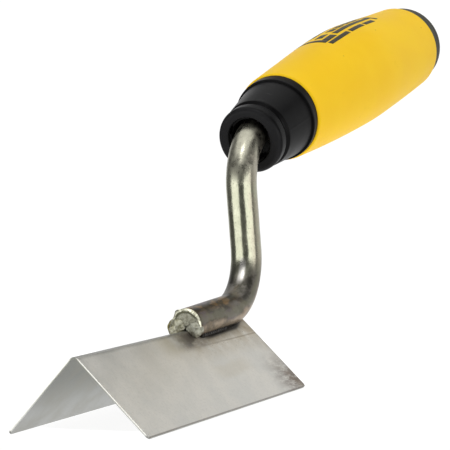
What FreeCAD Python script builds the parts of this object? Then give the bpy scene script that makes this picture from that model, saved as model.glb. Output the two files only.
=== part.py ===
import FreeCAD, Part
import Sketcher
import math
import os

# Corner trowel for drywall work: a folded V blade, a bent rod shank seated on its ridge
# and a straight handle of collar, core, grip sleeve and tail cap. Millimetres, +Z up.
# The model origin is on the surface that the blade's two edges stand on, in the symmetry
# plane (X = 0), halfway along the tool. +Y runs from the blade's front to the tail cap.

doc = FreeCAD.newDocument("CornerTrowel")
X_AXIS = FreeCAD.Vector(1, 0, 0)
Y_AXIS = FreeCAD.Vector(0, 1, 0)
Z_AXIS = FreeCAD.Vector(0, 0, 1)
NEAR = 0.01  # two places closer than this count as the same place

# ---------------------------------------------------------------- driving dimensions
# The ridge is the sharp line where the blade's two outer faces would meet; the ridge frame
# has its origin at the ridge's front end. The handle frame has its origin at the upper
# corner of the shank's centreline and its own Y axis along the tang.
DIMENSIONS = [
    # blade
    ("leg_width", 30.0), ("half_angle", 45.0), ("blade_length", 100.0), ("sheet", 0.6),
    ("ridge_radius", 1.9), ("corner_radius", 1.2),
    # shank
    ("rod_radius", 4.75), ("seat_front", 64.0), ("seat_front_lift", 0.9),
    ("seat_chamfer", 0.7), ("lower_corner_y", 107.9), ("lower_corner_z", 3.1),
    ("lower_bend", 16.5), ("upper_corner_y", 104.1), ("upper_corner_z", 53.4),
    ("upper_bend", 18.0), ("tang_length", 100.0), ("flat_width", 8.0), ("flat_length", 20.0),
    ("tip_chamfer", 0.8),
    # welds
    ("seam_leg", 1.0), ("seam_start", 3.0), ("seam_length", 18.0),
    ("tack_left_radius", 2.9), ("tack_left_across", 3.7), ("tack_left_down", 0.4),
    ("tack_right_radius", 2.4), ("tack_right_across", 3.0), ("tack_right_down", 0.6),
    ("tack_behind", 0.6),
    # handle stations along the tang, and the collar's droop
    ("handle_tilt", 12.5), ("collar_droop", 5.0), ("collar_length", 23.9), ("junction", 31.5),
    ("grip_end", 143.6), ("core_front", 16.0),
    # collar
    ("lip_radius", 10.7), ("lip_width", 4.6), ("lip_front_round", 1.7), ("lip_rear_round", 0.3),
    ("groove_radius", 10.2), ("groove_width", 1.2), ("neck_front_radius", 11.1),
    ("neck_rear_radius", 12.9), ("flange_radius", 13.6), ("flange_width", 3.2),
    ("flange_round", 0.4), ("mouth_radius", 6.2), ("mouth_drop", 1.1),
    # core and cap
    ("core_nose_radius", 8.0), ("core_radius", 11.5), ("socket_radius", 7.0),
    ("socket_depth", 12.6), ("spigot_length", 12.0), ("cap_thickness", 8.7),
    ("cap_radius", 15.2), ("cap_rear_radius", 14.0), ("cap_round", 1.5),
    # grip edges
    ("grip_front_edge", 0.8), ("grip_rear_edge", 0.5),
    # how far a cutting profile runs past the material it removes
    ("overrun", 2.0),
]

# Grip stations: distance behind the junction, radius, and rise of the section's centre
# above the tang axis, which makes the palm swell fuller on top than below.
GRIP_STATIONS = [
    ("grip_a", 0.0, 14.2, 0.0), ("grip_b", 20.0, 15.6, 0.1), ("grip_c", 40.0, 16.8, 0.4),
    ("grip_d", 61.0, 17.5, 0.6), ("grip_e", 79.0, 17.0, 0.4), ("grip_f", 97.0, 16.2, 0.1),
    ("grip_g", 112.1, 15.5, 0.0),
]

sheet = doc.addObject("Spreadsheet::Sheet", "Dims")
rows = list(DIMENSIONS)
for name, distance, radius, rise in GRIP_STATIONS:
    rows += [(name + "_along", distance), (name + "_radius", radius), (name + "_rise", rise)]
for row, (name, value) in enumerate(rows, start=1):
    sheet.set("A%d" % row, name)
    sheet.set("B%d" % row, str(value))
    sheet.setAlias("B%d" % row, name)
doc.recompute()

# ---------------------------------------------------------------- derived expressions
APEX_HEIGHT = "Dims.leg_width * cos(Dims.half_angle) + Dims.sheet * sin(Dims.half_angle)"
TIP_Y = "Dims.upper_corner_y + Dims.tang_length * cos(Dims.handle_tilt)"
TIP_Z = "Dims.upper_corner_z + Dims.tang_length * sin(Dims.handle_tilt)"
CAP_TAPER = "(Dims.cap_radius - Dims.cap_rear_radius) / Dims.cap_thickness"
# Distance from the tang axis to the centre of the round on the cap's rear edge.
CAP_ROUND_CENTRE = ("(Dims.cap_rear_radius + Dims.cap_round * (%s - sqrt(1 + (%s) ^ 2)))"
                    % (CAP_TAPER, CAP_TAPER))
TAIL_Y = ("Dims.upper_corner_y"
          " + (Dims.grip_end + Dims.cap_thickness - Dims.cap_round) * cos(Dims.handle_tilt)"
          " + %s * sin(Dims.handle_tilt) + Dims.cap_round" % CAP_ROUND_CENTRE)
RIDGE_FRONT_Y = "-(%s) / 2" % TAIL_Y
# The rod's seat rises a little towards its lower bend.
SEAT_TILT = ("atan((Dims.lower_corner_z - Dims.seat_front_lift)"
             " / (Dims.lower_corner_y - Dims.seat_front))")


def value(expression):
    """The number that an expression over the sheet's cells works out to."""
    return float(sheet.evalExpression(expression))


# ---------------------------------------------------------------- building helpers
def new_body(label):
    """An empty body whose label is also the name of its file."""
    body = doc.addObject("PartDesign::Body", label)
    body.Label = label
    return body


def place_on_ridge(piece):
    """Puts a piece drawn in the ridge frame where the blade is."""
    piece.setExpression("Placement.Base.y", RIDGE_FRONT_Y)
    piece.setExpression("Placement.Base.z", APEX_HEIGHT)


def place_on_tang(piece):
    """Puts a piece drawn in the handle frame on the shank's tang."""
    piece.Placement = FreeCAD.Placement(FreeCAD.Vector(), FreeCAD.Rotation(X_AXIS, 1))
    piece.setExpression("Placement.Base.y", "%s + Dims.upper_corner_y" % RIDGE_FRONT_Y)
    piece.setExpression("Placement.Base.z", "%s + Dims.upper_corner_z" % APEX_HEIGHT)
    piece.setExpression("Placement.Rotation.Angle", "Dims.handle_tilt")


def new_sketch(body, name, role, lift="0", shift="0", rise="0", turn="0", about=Z_AXIS):
    """A sketch on one of the body's origin planes, moved by expressions in its own axes."""
    sketch = body.newObject("Sketcher::SketchObject", name)
    plane = [item for item in body.Origin.OriginFeatures if item.Role == role][0]
    sketch.AttachmentSupport = (plane, [""])
    sketch.MapMode = "FlatFace"
    sketch.AttachmentOffset = FreeCAD.Placement(
        FreeCAD.Vector(value(shift), value(rise), value(lift)),
        FreeCAD.Rotation(about, value(turn)))
    for axis, expression in (("x", shift), ("y", rise), ("z", lift)):
        if expression != "0":
            sketch.setExpression("AttachmentOffset.Base." + axis, expression)
    if turn != "0":
        sketch.setExpression("AttachmentOffset.Rotation.Angle", turn)
    return sketch


def bound(sketch, constraint, expression):
    """Adds a constraint with a size and ties that size to the sheet."""
    index = sketch.addConstraint(constraint)
    sketch.setExpression("Constraints[%d]" % index, expression)


def pin(sketch, geometry, point, across, up):
    """Fixes a sketch point at two coordinates, each an expression; "0" means on the axis."""
    for expression, kind, axis in ((across, "DistanceX", -2), (up, "DistanceY", -1)):
        if expression == "0":
            sketch.addConstraint(Sketcher.Constraint("PointOnObject", geometry, point, axis))
        else:
            size = value(expression)
            bound(sketch, Sketcher.Constraint(kind, -1, 1, geometry, point, size), expression)


def polygon(sketch, corners):
    """A closed outline of straight lines through corners given as pairs of expressions."""
    points = [FreeCAD.Vector(value(across), value(up), 0) for across, up in corners]
    ends = points[1:] + points[:1]
    lines = [sketch.addGeometry(Part.LineSegment(a, b), False) for a, b in zip(points, ends)]
    for line, following in zip(lines, lines[1:] + lines[:1]):
        sketch.addConstraint(Sketcher.Constraint("Coincident", line, 2, following, 1))
    for line, (across, up) in zip(lines, corners):
        pin(sketch, line, 1, across, up)


def circle(sketch, across, up, radius):
    """A circle whose centre and radius are expressions."""
    centre = FreeCAD.Vector(value(across), value(up), 0)
    index = sketch.addGeometry(Part.Circle(centre, Z_AXIS, value(radius)), False)
    bound(sketch, Sketcher.Constraint("Radius", index, value(radius)), radius)
    pin(sketch, index, 3, across, up)


def feature(body, kind, name, sketch, **properties):
    """A PartDesign feature made from a sketch; text properties are expressions."""
    item = body.newObject("PartDesign::" + kind, name)
    item.Profile = sketch
    for key, setting in properties.items():
        if isinstance(setting, str):
            item.setExpression(key, setting)
        else:
            setattr(item, key, setting)
    doc.recompute()
    return item


def cut(body, kind, name, sketch, **properties):
    """A feature that must take material away from the body."""
    before = body.Shape.Volume
    item = feature(body, kind, name, sketch, **properties)
    if body.Shape.Volume > before - NEAR:
        raise RuntimeError(name + " cuts nothing")
    return item


def edges_where(body, test):
    """Names of the body's edges whose middle point passes a test."""
    doc.recompute()
    found = []
    for index, edge in enumerate(body.Tip.Shape.Edges, start=1):
        middle = edge.valueAt((edge.FirstParameter + edge.LastParameter) / 2)
        if test(edge, middle):
            found.append("Edge%d" % index)
    if not found:
        raise RuntimeError("no edge found on " + body.Label)
    return found


def dress(body, kind, name, test, size_name, expression):
    """A fillet or chamfer along the edges that pass a test."""
    base = body.Tip
    names = edges_where(body, test)
    item = body.newObject("PartDesign::" + kind, name)
    item.Base = (base, names)
    item.setExpression(size_name, expression)
    doc.recompute()
    return item


def ring_at(station, radius):
    """A test for the edges that run round the Y axis at a station and a radius."""
    def test(edge, middle):
        places = [middle] + [vertex.Point for vertex in edge.Vertexes]
        return all(abs(place.y - value(station)) < NEAR
                   and abs(math.hypot(place.x, place.z) - value(radius)) < NEAR
                   for place in places)
    return test


# ---------------------------------------------------------------- blade
def make_blade():
    """Stainless sheet folded to a right angle, its ridge up and its working faces inside."""
    body = new_body("blade")
    outer_x = "Dims.leg_width * sin(Dims.half_angle)"
    outer_z = "-Dims.leg_width * cos(Dims.half_angle)"
    inner_x = "(Dims.leg_width * sin(Dims.half_angle) - Dims.sheet * cos(Dims.half_angle))"
    inner_z = "-Dims.leg_width * cos(Dims.half_angle) - Dims.sheet * sin(Dims.half_angle)"
    inner_apex = "-Dims.sheet / sin(Dims.half_angle)"
    profile = new_sketch(body, "blade_profile", "XZ_Plane")
    polygon(profile, [("0", "0"), (outer_x, outer_z), (inner_x, inner_z), ("0", inner_apex),
                      ("-" + inner_x, inner_z), ("-" + outer_x, outer_z)])
    feature(body, "Pad", "blade_pad", profile, Length="Dims.blade_length", Reversed=True)
    middle_y = value("Dims.blade_length") / 2

    def ridge_line(height):
        def test(edge, middle):
            on_axis = abs(middle.y - middle_y) < NEAR and abs(middle.x) < NEAR
            return on_axis and abs(middle.z - value(height)) < NEAR
        return test

    def leg_corner(edge, middle):
        short = abs(edge.Length - value("Dims.sheet")) < NEAR
        return short and abs(middle.x) > value(inner_x)

    dress(body, "Fillet", "ridge_bend", ridge_line("0"), "Radius", "Dims.ridge_radius")
    dress(body, "Fillet", "hollow_bend", ridge_line(inner_apex), "Radius",
          "Dims.ridge_radius - Dims.sheet")
    dress(body, "Fillet", "corner_rounds", leg_corner, "Radius", "Dims.corner_radius")
    place_on_ridge(body)


# ---------------------------------------------------------------- shank
def centreline(sketch):
    """Three straight runs joined by two tangent arcs, through two pinned corner points."""
    start = FreeCAD.Vector(value("Dims.seat_front"), value("Dims.seat_front_lift"), 0)
    lower = FreeCAD.Vector(value("Dims.lower_corner_y"), value("Dims.lower_corner_z"), 0)
    upper = FreeCAD.Vector(value("Dims.upper_corner_y"), value("Dims.upper_corner_z"), 0)
    tip = FreeCAD.Vector(value(TIP_Y), value(TIP_Z), 0)

    def bend(before, corner, after, radius):
        toward = (before - corner).normalize()
        away = (after - corner).normalize()
        half = toward.getAngle(away) / 2
        middle = (toward + away).normalize()
        centre = corner + middle * (radius / math.sin(half))
        first = corner + toward * (radius / math.tan(half))
        last = corner + away * (radius / math.tan(half))
        return first, centre - middle * radius, last

    first_bend = bend(start, lower, upper, value("Dims.lower_bend"))
    second_bend = bend(lower, upper, tip, value("Dims.upper_bend"))
    seat = sketch.addGeometry(Part.LineSegment(start, first_bend[0]), False)
    arc_low = sketch.addGeometry(Part.Arc(*first_bend), False)
    riser = sketch.addGeometry(Part.LineSegment(first_bend[2], second_bend[0]), False)
    arc_high = sketch.addGeometry(Part.Arc(*second_bend), False)
    tang = sketch.addGeometry(Part.LineSegment(second_bend[2], tip), False)
    low_corner = sketch.addGeometry(Part.Point(lower), True)
    high_corner = sketch.addGeometry(Part.Point(upper), True)

    def joint(first, second):
        """Joins an end of one edge to the start of the next, tangentially."""
        a_end = [sketch.getPoint(first, side) for side in (1, 2)]
        b_end = [sketch.getPoint(second, side) for side in (1, 2)]
        pairs = [(a.distanceToPoint(b), i + 1, j + 1)
                 for i, a in enumerate(a_end) for j, b in enumerate(b_end)]
        gap, side, other = min(pairs)
        sketch.addConstraint(Sketcher.Constraint("Tangent", first, side, second, other))

    for first, second in ((seat, arc_low), (arc_low, riser), (riser, arc_high), (arc_high, tang)):
        joint(first, second)
    for corner, runs in ((low_corner, (seat, riser)), (high_corner, (riser, tang))):
        for run in runs:
            sketch.addConstraint(Sketcher.Constraint("PointOnObject", corner, 1, run))
    bound(sketch, Sketcher.Constraint("Radius", arc_low, value("Dims.lower_bend")),
          "Dims.lower_bend")
    bound(sketch, Sketcher.Constraint("Radius", arc_high, value("Dims.upper_bend")),
          "Dims.upper_bend")
    pin(sketch, seat, 1, "Dims.seat_front", "Dims.seat_front_lift")
    pin(sketch, low_corner, 1, "Dims.lower_corner_y", "Dims.lower_corner_z")
    pin(sketch, high_corner, 1, "Dims.upper_corner_y", "Dims.upper_corner_z")
    pin(sketch, tang, 2, TIP_Y, TIP_Z)


def make_shank():
    """Round rod, notched to sit astride the ridge, bent up and back into a flatted tang."""
    body = new_body("shank")
    path = new_sketch(body, "centreline", "YZ_Plane")
    centreline(path)
    section = new_sketch(body, "rod_section", "XZ_Plane", lift="-Dims.seat_front",
                         rise="Dims.seat_front_lift", turn=SEAT_TILT, about=X_AXIS)
    circle(section, "0", "0", "Dims.rod_radius")
    feature(body, "AdditivePipe", "rod", section, Spine=path)

    def rim_round(centre):
        def test(edge, middle):
            is_round = isinstance(edge.Curve, Part.Circle)
            return is_round and edge.Curve.Center.distanceToPoint(centre) < NEAR
        return test

    seat_centre = FreeCAD.Vector(0, value("Dims.seat_front"), value("Dims.seat_front_lift"))
    tip_centre = FreeCAD.Vector(0, value(TIP_Y), value(TIP_Z))
    dress(body, "Chamfer", "seat_chamfer", rim_round(seat_centre), "Size", "Dims.seat_chamfer")
    dress(body, "Chamfer", "tip_chamfer", rim_round(tip_centre), "Size", "Dims.tip_chamfer")

    # The notch's flanks lie on the blade's outer faces; its sharp root clears the round ridge.
    notch = new_sketch(body, "notch_profile", "XZ_Plane")
    depth = "2 * Dims.rod_radius"
    polygon(notch, [("0", "0"), (depth, "-" + depth), ("-" + depth, "-" + depth)])
    cut(body, "Pocket", "ridge_notch", notch, Length="Dims.blade_length + Dims.overrun",
        Reversed=False)

    for side, direction in (("left", -1), ("right", 1)):
        lift = "%d * Dims.flat_width / 2" % direction
        flat = new_sketch(body, "flat_" + side, "YZ_Plane", lift=lift,
                          shift="Dims.upper_corner_y", rise="Dims.upper_corner_z",
                          turn="Dims.handle_tilt")
        near = "Dims.tang_length - Dims.flat_length"
        far = "Dims.tang_length + Dims.overrun"
        polygon(flat, [(near, "-Dims.rod_radius"), (far, "-Dims.rod_radius"),
                       (far, "Dims.rod_radius"), (near, "Dims.rod_radius")])
        cut(body, "Pocket", "tang_flat_" + side, flat, Length="Dims.rod_radius",
            Reversed=direction > 0)
    place_on_ridge(body)


# ---------------------------------------------------------------- welds
def above_flank(label, solid, side, height):
    """Keeps what stands on one of the blade's outer faces, up to a height, outside the rod."""
    block = doc.addObject("Part::Box", label + "_block")
    for size in ("Length", "Width"):
        block.setExpression(size, "Dims.leg_width")
    block.setExpression("Height", height)
    block.Placement = FreeCAD.Placement(FreeCAD.Vector(), FreeCAD.Rotation(Y_AXIS, 1))
    block.setExpression("Placement.Base.y", "Dims.seat_front - Dims.leg_width / 3")
    block.setExpression("Placement.Rotation.Angle", "%d * Dims.half_angle" % side)
    if side < 0:
        block.setExpression("Placement.Base.x", "-Dims.leg_width * cos(Dims.half_angle)")
        block.setExpression("Placement.Base.z", "-Dims.leg_width * sin(Dims.half_angle)")
    above = doc.addObject("Part::Common", label + "_above")
    above.Base = solid
    above.Tool = block
    weld = doc.addObject("Part::Cut", label)
    weld.Label = label
    weld.Base = above
    # The rod is cut away where it stands in the ridge frame.
    rod = doc.addObject("Part::Feature", label + "_rod")
    rod.Shape = doc.getObject("shank").Tip.Shape
    weld.Tool = rod
    doc.recompute()
    place_on_ridge(weld)


def make_seam(label, side):
    """Weld bead in the corner between the rod's lower side and the blade's outer face."""
    sleeve = doc.addObject("Part::Cylinder", label + "_sleeve")
    sleeve.setExpression("Radius", "Dims.rod_radius + Dims.seam_leg")
    sleeve.setExpression("Height", "Dims.seam_length")
    # The sleeve lies round the rod's seat, from a little way behind the rod's front end.
    sleeve.Placement = FreeCAD.Placement(FreeCAD.Vector(), FreeCAD.Rotation(X_AXIS, 1))
    sleeve.setExpression("Placement.Rotation.Angle", SEAT_TILT + " - 90 deg")
    sleeve.setExpression("Placement.Base.y",
                         "Dims.seat_front + Dims.seam_start * cos(%s)" % SEAT_TILT)
    sleeve.setExpression("Placement.Base.z",
                         "Dims.seat_front_lift + Dims.seam_start * sin(%s)" % SEAT_TILT)
    above_flank(label, sleeve, side, "Dims.seam_leg")


def make_tack(label, side):
    """Molten nugget that fixes one lobe of the rod's front end to the blade."""
    size = "Dims." + label.replace("weld_", "")
    ball = doc.addObject("Part::Sphere", label + "_ball")
    ball.setExpression("Radius", size + "_radius")
    ball.setExpression("Placement.Base.x", "%d * %s_across" % (side, size))
    ball.setExpression("Placement.Base.y", "Dims.seat_front + Dims.tack_behind")
    ball.setExpression("Placement.Base.z", "-%s_down" % size)
    above_flank(label, ball, side, "Dims.leg_width")


# ---------------------------------------------------------------- handle
def make_collar():
    """Moulded nose: a rolled lip, a groove and a widening neck, drooping towards the rod."""
    body = new_body("nose_collar")
    profile = new_sketch(body, "collar_profile", "YZ_Plane", shift="Dims.junction",
                         turn="Dims.collar_droop")
    face = "-Dims.collar_length"
    lip_end = "-Dims.collar_length + Dims.lip_width"
    neck = "-Dims.collar_length + Dims.lip_width + Dims.groove_width"
    polygon(profile, [
        (face, "0"), (face, "Dims.lip_radius"), (lip_end, "Dims.lip_radius"),
        (lip_end, "Dims.groove_radius"), (neck, "Dims.groove_radius"),
        (neck, "Dims.neck_front_radius"), ("-Dims.flange_width", "Dims.neck_rear_radius"),
        ("-Dims.flange_width", "Dims.flange_radius"), ("Dims.overrun", "Dims.flange_radius"),
        ("Dims.overrun", "0")])
    feature(body, "Revolution", "collar_outside", profile, ReferenceAxis=(profile, ["H_Axis"]))
    droop = math.radians(value("Dims.collar_droop"))
    axis = FreeCAD.Vector(0, math.cos(droop), math.sin(droop))
    origin = FreeCAD.Vector(0, value("Dims.junction"), 0)

    def ring(station, radius):
        def test(edge, middle):
            if not isinstance(edge.Curve, Part.Circle):
                return False
            off_station = (edge.Curve.Center - origin).dot(axis) - value(station)
            off_radius = edge.Curve.Radius - value(radius)
            return abs(off_station) < NEAR and abs(off_radius) < NEAR
        return test

    dress(body, "Fillet", "lip_front", ring(face, "Dims.lip_radius"), "Radius",
          "Dims.lip_front_round")
    dress(body, "Fillet", "lip_rear", ring(lip_end, "Dims.lip_radius"), "Radius",
          "Dims.lip_rear_round")
    dress(body, "Fillet", "neck_front", ring(neck, "Dims.neck_front_radius"), "Radius",
          "Dims.lip_rear_round")
    dress(body, "Fillet", "flange_front", ring("-Dims.flange_width", "Dims.flange_radius"),
          "Radius", "Dims.flange_round")

    # Everything behind the junction plane goes, so that the collar meets the grip squarely.
    trim = new_sketch(body, "junction_trim", "YZ_Plane")
    wide = "2 * Dims.flange_radius"
    behind = "Dims.junction + Dims.flange_radius"
    polygon(trim, [("Dims.junction", "-" + wide), (behind, "-" + wide), (behind, wide),
                   ("Dims.junction", wide)])
    cut(body, "Pocket", "junction_cut", trim, Length="4 * Dims.flange_radius", Midplane=True)

    # Bore for the core's nose, then the mouth that the bent rod leaves through.
    bore = new_sketch(body, "core_bore", "XZ_Plane", lift="-Dims.junction")
    circle(bore, "0", "0", "Dims.core_nose_radius")
    cut(body, "Pocket", "core_seat", bore, Length="Dims.junction - Dims.core_front",
        Reversed=True)
    mouth = new_sketch(body, "mouth_profile", "XZ_Plane", lift="-Dims.core_front",
                       rise="-(Dims.junction - Dims.core_front) * tan(Dims.collar_droop)")
    slot_outline(mouth)
    cut(body, "Pocket", "mouth", mouth, Length="2 * Dims.core_front", Reversed=True)
    place_on_tang(body)


def slot_outline(sketch):
    """An upright slot: a half circle on top, a lower one dropped below it, two short sides."""
    radius, drop = value("Dims.mouth_radius"), value("Dims.mouth_drop")
    top, low = FreeCAD.Vector(), FreeCAD.Vector(0, -drop, 0)
    upper = Part.ArcOfCircle(Part.Circle(top, Z_AXIS, radius), 0, math.pi)
    lower = Part.ArcOfCircle(Part.Circle(low, Z_AXIS, radius), math.pi, 2 * math.pi)
    right = Part.LineSegment(low + X_AXIS * radius, top + X_AXIS * radius)
    left = Part.LineSegment(top - X_AXIS * radius, low - X_AXIS * radius)
    first, second, third, fourth = sketch.addGeometry([upper, left, lower, right], False)
    for before, after in ((first, second), (second, third), (third, fourth), (fourth, first)):
        sketch.addConstraint(Sketcher.Constraint("Tangent", before, 2, after, 1))
    bound(sketch, Sketcher.Constraint("Radius", first, radius), "Dims.mouth_radius")
    pin(sketch, first, 3, "0", "0")
    pin(sketch, third, 3, "0", "-Dims.mouth_drop")


def make_core():
    """Rigid moulded tube pressed on the tang; its rear end takes the cap's spigot."""
    body = new_body("handle_core")
    profile = new_sketch(body, "core_profile", "YZ_Plane")
    polygon(profile, [
        ("Dims.core_front", "0"), ("Dims.core_front", "Dims.core_nose_radius"),
        ("Dims.junction", "Dims.core_nose_radius"), ("Dims.junction", "Dims.core_radius"),
        ("Dims.grip_end", "Dims.core_radius"), ("Dims.grip_end", "Dims.socket_radius"),
        ("Dims.grip_end - Dims.socket_depth", "Dims.socket_radius"),
        ("Dims.grip_end - Dims.socket_depth", "0")])
    feature(body, "Revolution", "core_outside", profile, ReferenceAxis=(profile, ["H_Axis"]))
    round_bore = new_sketch(body, "round_bore", "XZ_Plane", lift="-Dims.core_front")
    circle(round_bore, "0", "0", "Dims.rod_radius")
    cut(body, "Pocket", "tang_bore", round_bore,
        Length="Dims.tang_length - Dims.flat_length - Dims.core_front")
    flat_bore = new_sketch(body, "flat_bore", "XZ_Plane", lift="-Dims.core_front")
    flatted_outline(flat_bore)
    cut(body, "Pocket", "tang_socket", flat_bore, Length="Dims.tang_length - Dims.core_front")
    place_on_tang(body)


def flatted_outline(sketch):
    """The tang's end section: a circle with two parallel flats."""
    radius, half = value("Dims.rod_radius"), value("Dims.flat_width / 2")
    turn = math.acos(half / radius)
    round_edge = Part.Circle(FreeCAD.Vector(), Z_AXIS, radius)
    top = sketch.addGeometry(Part.ArcOfCircle(round_edge, turn, math.pi - turn), False)
    lower = Part.ArcOfCircle(round_edge, math.pi + turn, 2 * math.pi - turn)
    bottom = sketch.addGeometry(lower, False)
    height = math.sqrt(radius ** 2 - half ** 2)
    signs = ((-1, 1), (-1, -1), (1, -1), (1, 1))
    corners = [FreeCAD.Vector(x * half, y * height, 0) for x, y in signs]
    left = sketch.addGeometry(Part.LineSegment(corners[0], corners[1]), False)
    right = sketch.addGeometry(Part.LineSegment(corners[2], corners[3]), False)
    for first, second in ((top, left), (left, bottom), (bottom, right), (right, top)):
        sketch.addConstraint(Sketcher.Constraint("Coincident", first, 2, second, 1))
    pin(sketch, top, 3, "0", "0")
    pin(sketch, bottom, 3, "0", "0")
    bound(sketch, Sketcher.Constraint("Radius", top, radius), "Dims.rod_radius")
    for line, side in ((left, "-"), (right, "")):
        sketch.addConstraint(Sketcher.Constraint("Vertical", line))
        reach = side + "Dims.flat_width / 2"
        bound(sketch, Sketcher.Constraint("DistanceX", -1, 1, line, 1, value(reach)), reach)


def make_grip():
    """Soft sleeve moulded round the core, swelling to fill the palm."""
    body = new_body("grip_sleeve")
    sections = []
    for name, distance, radius, rise in GRIP_STATIONS:
        section = new_sketch(body, name, "XZ_Plane",
                             lift="-(Dims.junction + Dims.%s_along)" % name)
        circle(section, "0", "Dims.%s_rise" % name if rise else "0", "Dims.%s_radius" % name)
        sections.append(section)
    doc.recompute()
    feature(body, "AdditiveLoft", "palm_swell", sections[0], Sections=sections[1:], Ruled=False)
    bore = new_sketch(body, "sleeve_bore", "XZ_Plane", lift="-Dims.junction")
    circle(bore, "0", "0", "Dims.core_radius")
    cut(body, "Pocket", "core_bore_in_sleeve", bore, Length="Dims.grip_end - Dims.junction")
    for end, station, inward, radius, size in (
            ("front", "Dims.junction", 1, "Dims.grip_a_radius", "Dims.grip_front_edge"),
            ("rear", "Dims.grip_end", -1, "Dims.grip_g_radius", "Dims.grip_rear_edge")):
        # A triangle swung round the axis takes the sharp edge off the sleeve's end.
        corner = new_sketch(body, end + "_edge_profile", "YZ_Plane")
        outside = "%s + Dims.overrun" % radius
        polygon(corner, [
            (station, "%s - %s" % (radius, size)),
            ("%s + %d * (%s + Dims.overrun)" % (station, inward, size), outside),
            (station, outside)])
        cut(body, "Groove", end + "_edge", corner, ReferenceAxis=(corner, ["H_Axis"]))
    place_on_tang(body)


def make_cap():
    """Tail cap: a rounded disc with a spigot pressed into the core's socket."""
    body = new_body("tail_cap")
    profile = new_sketch(body, "cap_profile", "YZ_Plane")
    spigot = "Dims.grip_end - Dims.spigot_length"
    rear = "Dims.grip_end + Dims.cap_thickness"
    polygon(profile, [
        (spigot, "0"), (spigot, "Dims.socket_radius"), ("Dims.grip_end", "Dims.socket_radius"),
        ("Dims.grip_end", "Dims.cap_radius"), (rear, "Dims.cap_rear_radius"), (rear, "0")])
    feature(body, "Revolution", "cap_outside", profile, ReferenceAxis=(profile, ["H_Axis"]))
    dress(body, "Fillet", "cap_edge", ring_at(rear, "Dims.cap_rear_radius"), "Radius",
          "Dims.cap_round")
    place_on_tang(body)


make_blade()
make_shank()
make_seam("weld_seam_left", -1)
make_seam("weld_seam_right", 1)
make_tack("weld_tack_left", -1)
make_tack("weld_tack_right", 1)
make_collar()
make_core()
make_grip()
make_cap()
doc.recompute()

# ---------------------------------------------------------------- checks and files
PIECES = ["blade", "shank", "weld_seam_left", "weld_seam_right", "weld_tack_left",
          "weld_tack_right", "nose_collar", "handle_core", "grip_sleeve", "tail_cap"]
for item in doc.Objects:
    if "Invalid" in item.State or "Error" in item.State:
        raise RuntimeError("%s did not compute: %s" % (item.Label, item.State))
pieces = [doc.getObjectsByLabel(label)[0] for label in PIECES]
for piece in pieces:
    if piece.Shape.isNull() or not piece.Shape.isValid():
        raise RuntimeError(piece.Label + " has no valid shape")
os.makedirs("parts", exist_ok=True)
for piece in pieces:
    piece.Shape.exportStep("parts/%s.step" % piece.Label)
    box = piece.Shape.BoundBox
    print("%-16s solids %d volume %9.1f  x %.1f..%.1f  y %.1f..%.1f  z %.1f..%.1f" % (
        piece.Label, len(piece.Shape.Solids), piece.Shape.Volume,
        box.XMin, box.XMax, box.YMin, box.YMax, box.ZMin, box.ZMax))
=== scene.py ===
import math
from collections import namedtuple
import bmesh
import bpy
from mathutils import Matrix, Vector, noise


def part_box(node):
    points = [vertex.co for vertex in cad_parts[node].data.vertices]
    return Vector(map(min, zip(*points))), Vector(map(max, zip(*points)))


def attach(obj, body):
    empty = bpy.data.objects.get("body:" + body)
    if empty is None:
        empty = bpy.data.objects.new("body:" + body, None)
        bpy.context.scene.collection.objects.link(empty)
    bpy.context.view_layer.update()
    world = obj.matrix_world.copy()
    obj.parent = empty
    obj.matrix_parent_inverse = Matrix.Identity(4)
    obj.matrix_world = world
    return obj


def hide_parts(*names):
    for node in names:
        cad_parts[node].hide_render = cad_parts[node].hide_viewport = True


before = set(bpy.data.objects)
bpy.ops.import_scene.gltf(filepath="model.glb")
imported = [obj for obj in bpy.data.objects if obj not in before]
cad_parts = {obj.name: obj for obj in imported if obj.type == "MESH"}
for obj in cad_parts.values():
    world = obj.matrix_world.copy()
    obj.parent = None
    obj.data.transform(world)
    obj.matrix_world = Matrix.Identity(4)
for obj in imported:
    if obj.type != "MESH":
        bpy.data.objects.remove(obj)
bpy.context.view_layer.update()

# Looks of an outside corner trowel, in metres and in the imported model's own frame: X = 0 is
# the symmetry plane, +Y runs from the blade's front to the tail cap, +Z is up. Pieces are built
# in three frames of their own: RIDGE starts at the ridge's front end, HANDLE at the rod's upper
# corner with Y along the tang, and COLLAR where collar and grip meet, with Y along the collar.
scene = bpy.context.scene
MM = 0.001

# ---------------------------------------------------------------- dimensions of the CAD model
LEG, SHEET, BLADE_LENGTH = 30.0 * MM, 0.6 * MM, 100.0 * MM
ROD_RADIUS, SEAT_FRONT, SEAT_LIFT = 4.75 * MM, 64.0 * MM, 0.9 * MM
LOWER_BEND, UPPER_BEND, TANG_LENGTH = 16.5 * MM, 18.0 * MM, 100.0 * MM
# the rod's front end and its two corners before they are rounded, in the ridge frame: (y, z)
SEAT_START = Vector((SEAT_FRONT, SEAT_LIFT))
LOWER_CORNER = Vector((107.9, 3.1)) * MM
UPPER_CORNER = Vector((104.1, 53.4)) * MM
SEAT_SLOPE = (LOWER_CORNER.y - SEAT_START.y) / (LOWER_CORNER.x - SEAT_START.x)
FLAT_HALF_WIDTH, FLAT_LENGTH = 4.0 * MM, 20.0 * MM
SEAM_FRONT, SEAM_LENGTH = SEAT_FRONT + 3.0 * MM, 18.0 * MM
TILT, DROOP = math.radians(12.5), math.radians(5.0)
COLLAR_LENGTH, JUNCTION, GRIP_END, CORE_FRONT = 23.9 * MM, 31.5 * MM, 143.6 * MM, 16.0 * MM
LIP_RADIUS, LIP_WIDTH, LIP_ROUND = 10.7 * MM, 4.6 * MM, 1.7 * MM
GROOVE_RADIUS, GROOVE_WIDTH = 10.2 * MM, 1.2 * MM
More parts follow.
